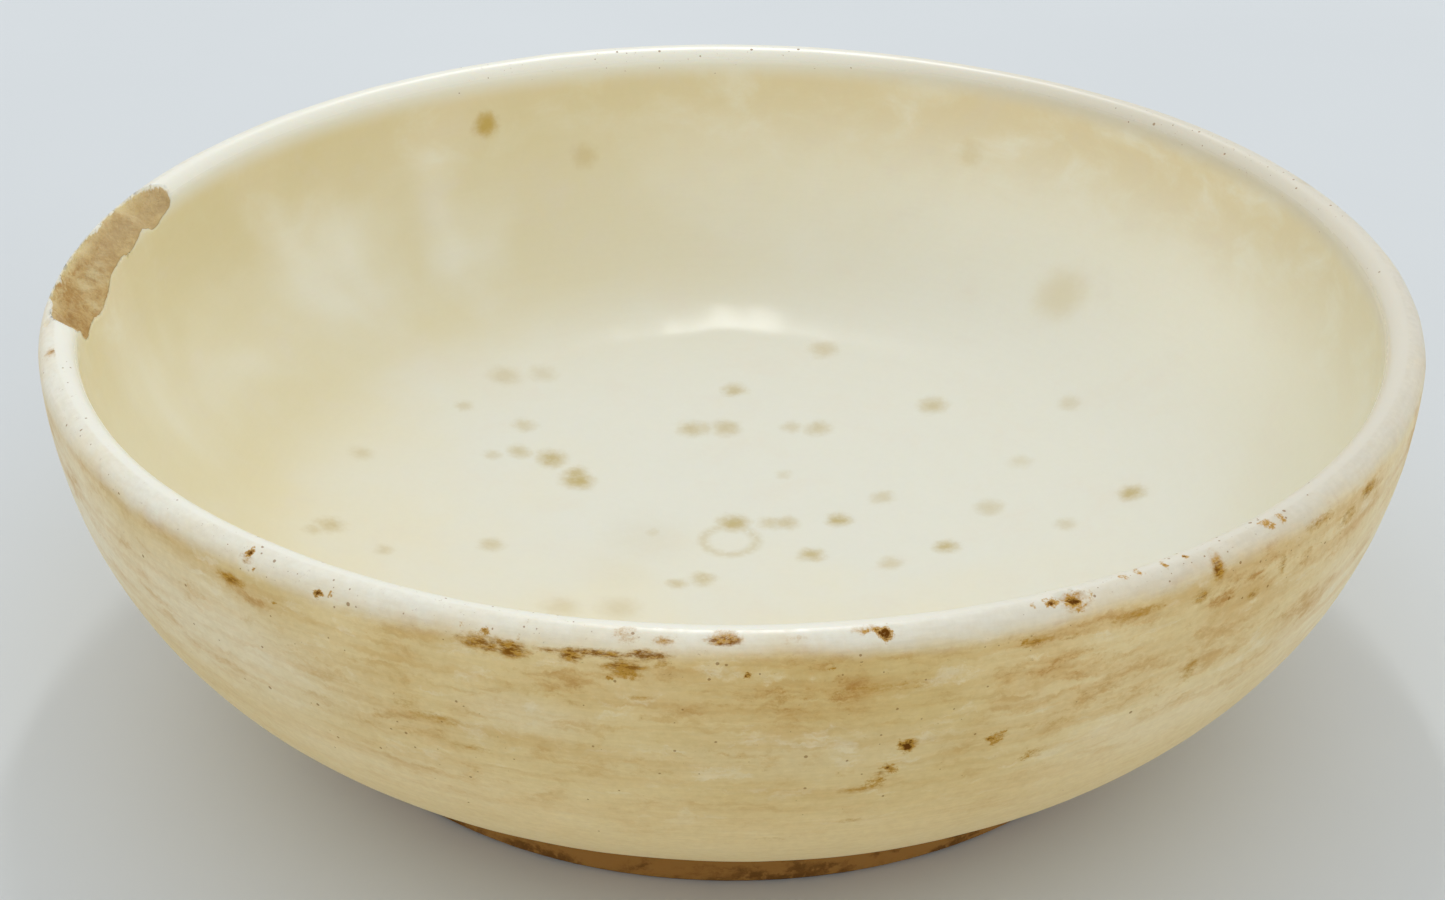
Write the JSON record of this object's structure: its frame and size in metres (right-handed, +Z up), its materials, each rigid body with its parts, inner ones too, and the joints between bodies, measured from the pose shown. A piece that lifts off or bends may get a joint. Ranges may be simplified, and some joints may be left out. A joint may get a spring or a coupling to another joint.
{
  "type": "marble mortar bowl",
  "caption": "Shallow turned marble bowl with a round lip, a dished grinding floor and a low foot; it holds what is ground or mixed by hand.",
  "frame": {"origin": "centre of the foot's base, on the turning axis, in the plane that the bowl stands on", "axes": "+Z up along the turning axis; the broken place in the lip is near -X"},
  "size_m": [0.2, 0.2, 0.0618],
  "materials": {
    "marble": "aged cream-white marble, worn to a soft polish, with brown and rust stains"
  },
  "bodies": {
    "root": {"bowl": "marble"}
  },
  "joints": []
}
